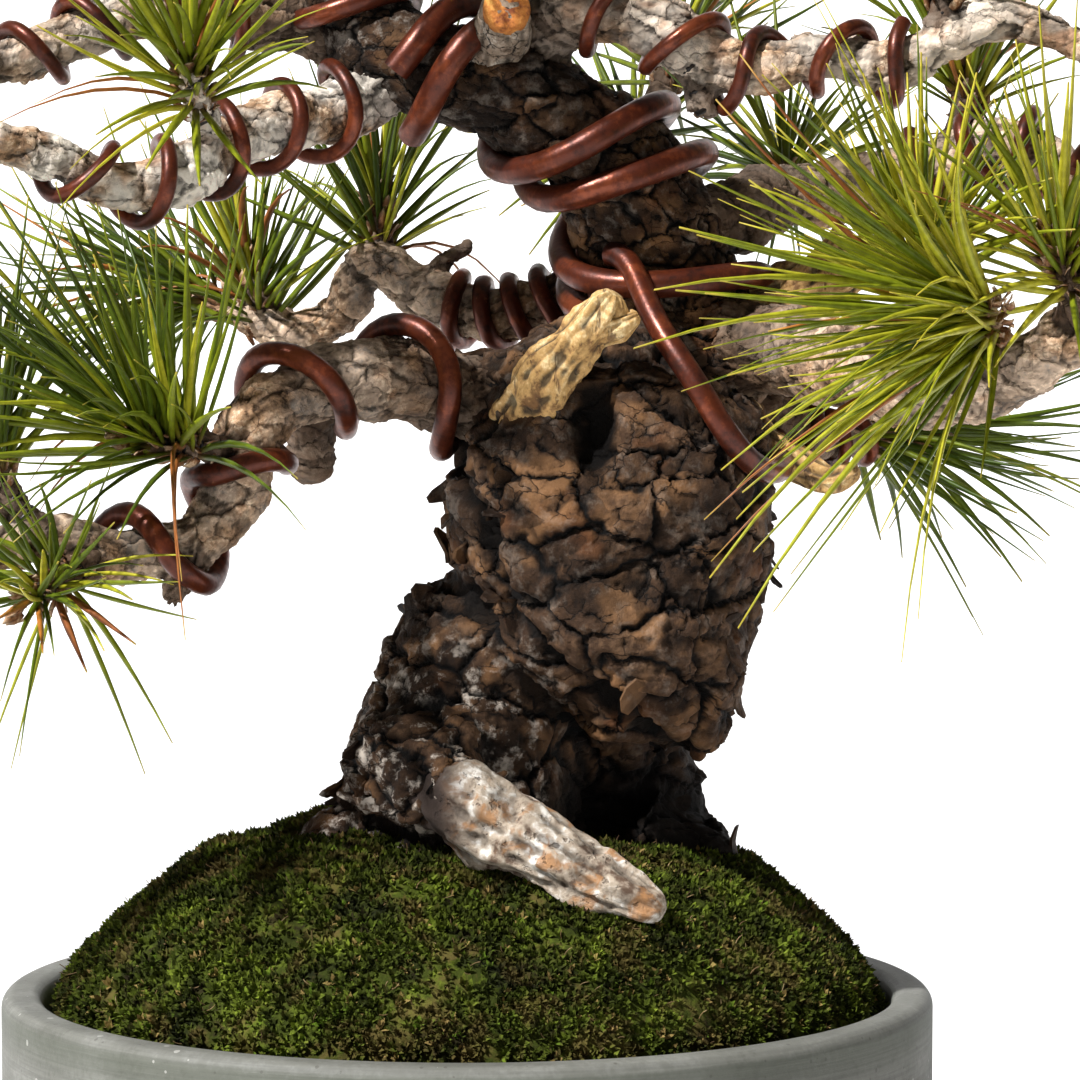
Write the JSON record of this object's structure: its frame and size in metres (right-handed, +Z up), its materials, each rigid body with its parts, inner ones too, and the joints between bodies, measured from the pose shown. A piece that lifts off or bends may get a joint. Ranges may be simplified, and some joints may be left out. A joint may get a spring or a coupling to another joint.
{
  "type": "potted bonsai pine",
  "caption": "Trained miniature pine with wired branches and needle tufts, growing from a mossy mound in a round stoneware pot.",
  "frame": {"origin": "centre of the pot's flat underside", "axes": "+Z up through the pot's middle, -Y towards the viewer's side of the tree, +X to the viewer's right"},
  "size_m": [0.3778, 0.2873, 0.4],
  "materials": {
    "stoneware": "matte unglazed grey stoneware with fine turning lines",
    "screen_plastic": "black plastic mesh",
    "clip_wire": "plain drawn wire",
    "grit": "loose pumice grit",
    "soil": "dark granular bonsai soil",
    "moss": "dense velvety moss, dark green with brighter tips",
    "bark": "flaking plated old pine bark",
    "young_bark": "pale grey-brown young pine bark",
    "training_wire": "red-brown anodised training wire with a satin sheen",
    "needles": "waxy pine needles, green to yellow-green"
  },
  "bodies": {
    "root": {"pot": "stoneware", "drain_screen_1": "screen_plastic", "drain_screen_2": "screen_plastic", "drain_screen_3": "screen_plastic", "screen_clip_1": "clip_wire", "screen_clip_2": "clip_wire", "screen_clip_3": "clip_wire", "drainage_grit": "grit", "soil": "soil", "moss": "moss", "trunk": "bark", "leader": "bark", "branch_lower_left": "young_bark", "branch_top_left": "young_bark", "branch_corner_left": "young_bark", "branch_middle_back": "young_bark", "branch_right": "young_bark", "branch_lower_right": "young_bark", "branch_far_right": "young_bark", "branch_top_right": "young_bark", "branch_back": "young_bark", "wire_leader_upper": "training_wire", "wire_leader_lower": "training_wire", "wire_apex": "training_wire", "wire_lower_left": "training_wire", "wire_middle_back": "training_wire", "wire_top_left": "training_wire", "wire_corner_left": "training_wire", "wire_top_right": "training_wire", "wire_far_right": "training_wire", "wire_lower_right": "training_wire", "tuft_apex": "needles", "tuft_apex_left": "needles", "tuft_apex_right": "needles", "tuft_apex_back": "needles", "tuft_apex_front": "needles", "tuft_lower_left_up": "needles", "tuft_lower_left_low": "needles", "tuft_lower_left_edge": "needles", "tuft_lower_left_end": "needles", "tuft_top_left_up": "needles", "tuft_top_left_end": "needles", "tuft_corner_left_up": "needles", "tuft_corner_left_end": "needles", "tuft_middle_back_up": "needles", "tuft_middle_back_left": "needles", "tuft_middle_back_end": "needles", "tuft_right_front": "needles", "tuft_right_up": "needles", "tuft_right_inner": "needles", "tuft_right_end": "needles", "tuft_lower_right": "needles", "tuft_far_right_up": "needles", "tuft_far_right_back": "needles", "tuft_far_right_end": "needles", "tuft_top_right_up": "needles", "tuft_top_right_end": "needles", "tuft_back_up": "needles", "tuft_back_end": "needles"}
  },
  "joints": []
}
